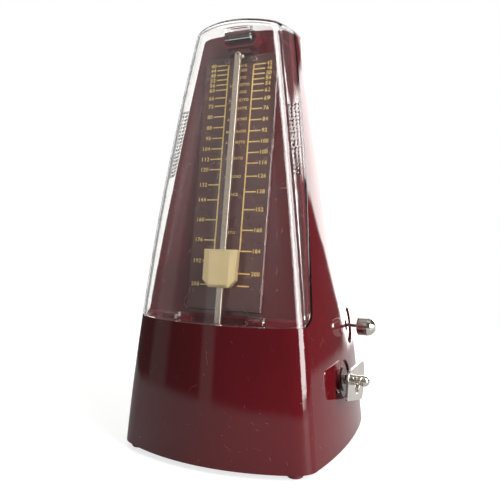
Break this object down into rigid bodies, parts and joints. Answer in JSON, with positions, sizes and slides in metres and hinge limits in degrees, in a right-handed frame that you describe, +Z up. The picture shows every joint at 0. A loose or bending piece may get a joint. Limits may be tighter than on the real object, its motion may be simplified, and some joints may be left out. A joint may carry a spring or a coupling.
{
  "type": "mechanical metronome",
  "caption": "Pyramid-shaped wind-up metronome with a clear tilting front cover, graduated scale, swinging rod with sliding weight, side winding key and beat-bell knob.",
  "frame": {"origin": "centre of the surface that the four feet stand on", "axes": "+Z up the case to its arched top; +X towards the side with the winding key and the bell knob; the clear cover and the scale face -Y"},
  "size_m": [0.1225, 0.1164, 0.2196],
  "materials": {
    "case_plastic": "deep burgundy glossy moulded plastic with fine scratches",
    "cover_clear": "clear colourless polished plastic",
    "base_plastic": "dark moulded plastic",
    "feet_plastic": "burgundy moulded plastic",
    "scale_enamel": "brown-burgundy lacquered plate with gold print",
    "stud_plastic": "small moulded studs",
    "rod_steel": "drawn bright steel",
    "weight_brass": "satin gold-coloured brass",
    "spring_steel": "blued spring strip and wire",
    "nickel": "polished nickel plating",
    "bush_plastic": "burgundy moulded plastic",
    "screw_steel": "zinc-plated steel",
    "frame_steel": "pressed steel",
    "gear_brass": "cut brass",
    "arbor_steel": "turned steel",
    "drum_plastic": "natural acetal",
    "bob_iron": "cast iron"
  },
  "bodies": {
    "case": {"case_shell": "case_plastic", "base_plate": "base_plastic", "base_screws": "screw_steel", "feet": "feet_plastic", "scale_plate": "scale_enamel", "rod_guide_studs": "stud_plastic", "left_frame_plate": "frame_steel", "right_frame_plate": "frame_steel", "frame_pillars": "frame_steel", "pillar_screws": "screw_steel", "staff_bracket": "frame_steel", "mainspring": "spring_steel", "arbor_bush": "bush_plastic", "knob_bush": "bush_plastic", "bell": "nickel", "bell_post": "screw_steel", "bell_nut": "screw_steel", "hammer_bush": "gear_brass"},
    "front_cover": {"front_cover": "cover_clear"},
    "pendulum": {"pendulum_rod": "rod_steel", "rod_stop_pin": "rod_steel", "pendulum_bob": "bob_iron", "pendulum_hub": "gear_brass", "pendulum_staff": "arbor_steel", "pallets": "arbor_steel"},
    "tempo_weight": {"tempo_weight": "weight_brass", "weight_clip": "weight_brass", "weight_spring": "spring_steel"},
    "great_wheel": {"great_wheel": "gear_brass", "click_spring": "spring_steel"},
    "click": {"click": "arbor_steel"},
    "winding_key": {"winding_arbor": "arbor_steel", "ratchet_wheel": "arbor_steel", "key_hub": "nickel", "key_plate": "nickel", "key_ball": "nickel"},
    "intermediate_shaft": {"intermediate_arbor": "arbor_steel", "intermediate_pinion": "gear_brass", "intermediate_wheel": "gear_brass", "beat_drum": "drum_plastic"},
    "escape_shaft": {"escape_arbor": "arbor_steel", "escape_pinion": "gear_brass", "escape_wheel": "gear_brass"},
    "bell_selector": {"bell_rod": "nickel", "bell_knob": "nickel"},
    "hammer": {"hammer": "arbor_steel", "hammer_arbor": "arbor_steel", "hammer_finger": "arbor_steel", "hammer_spring": "spring_steel"}
  },
  "joints": [
    {"name": "cover_tilt", "type": "hinge", "parent": "case", "child": "front_cover", "pos_m": [0, -0.0511, 0.0685], "axis": [1, 0, 0], "range_deg": [0, 30]},
    {"name": "pendulum_swing", "type": "hinge", "parent": "case", "child": "pendulum", "pos_m": [0, -0.03829, 0.04], "axis": [0, -0.9865, 0.1638], "range_deg": [-5, 5]},
    {"name": "weight_slide", "type": "slide", "parent": "pendulum", "child": "tempo_weight", "axis": [0, 0.1638, 0.9865], "range_m": [-0.0177, 0.0983]},
    {"name": "train_run", "type": "hinge", "parent": "case", "child": "great_wheel", "pos_m": [-0.019, 0.0045, 0.035], "axis": [1, 0, 0], "continuous": true},
    {"name": "click_lift", "type": "hinge", "parent": "great_wheel", "child": "click", "pos_m": [-0.017, 0.01107, 0.04736], "axis": [1, 0, 0], "range_deg": [0, 8], "stiffness_Nm_per_rad": 0.002},
    {"name": "winding", "type": "hinge", "parent": "great_wheel", "child": "winding_key", "pos_m": [0, 0.0045, 0.035], "axis": [1, 0, 0], "continuous": true},
    {"name": "intermediate_turn", "type": "hinge", "parent": "case", "child": "intermediate_shaft", "pos_m": [0, -0.02175, 0.02527], "axis": [1, 0, 0], "continuous": true},
    {"name": "escape_turn", "type": "hinge", "parent": "case", "child": "escape_shaft", "pos_m": [-0.012, -0.02892, 0.03844], "axis": [1, 0, 0], "continuous": true},
    {"name": "bell_select", "type": "slide", "parent": "case", "child": "bell_selector", "axis": [1, 0, 0], "range_m": [0, 0.01]},
    {"name": "hammer_lift", "type": "hinge", "parent": "case", "child": "hammer", "pos_m": [0.02, -0.012, 0.05], "axis": [1, 0, 0], "range_deg": [0, 15], "stiffness_Nm_per_rad": 0.001}
  ],
  "couplings": [
    {"joint": "intermediate_turn", "follows": "train_run", "ratio": -6},
    {"joint": "escape_turn", "follows": "train_run", "ratio": 30}
  ]
}
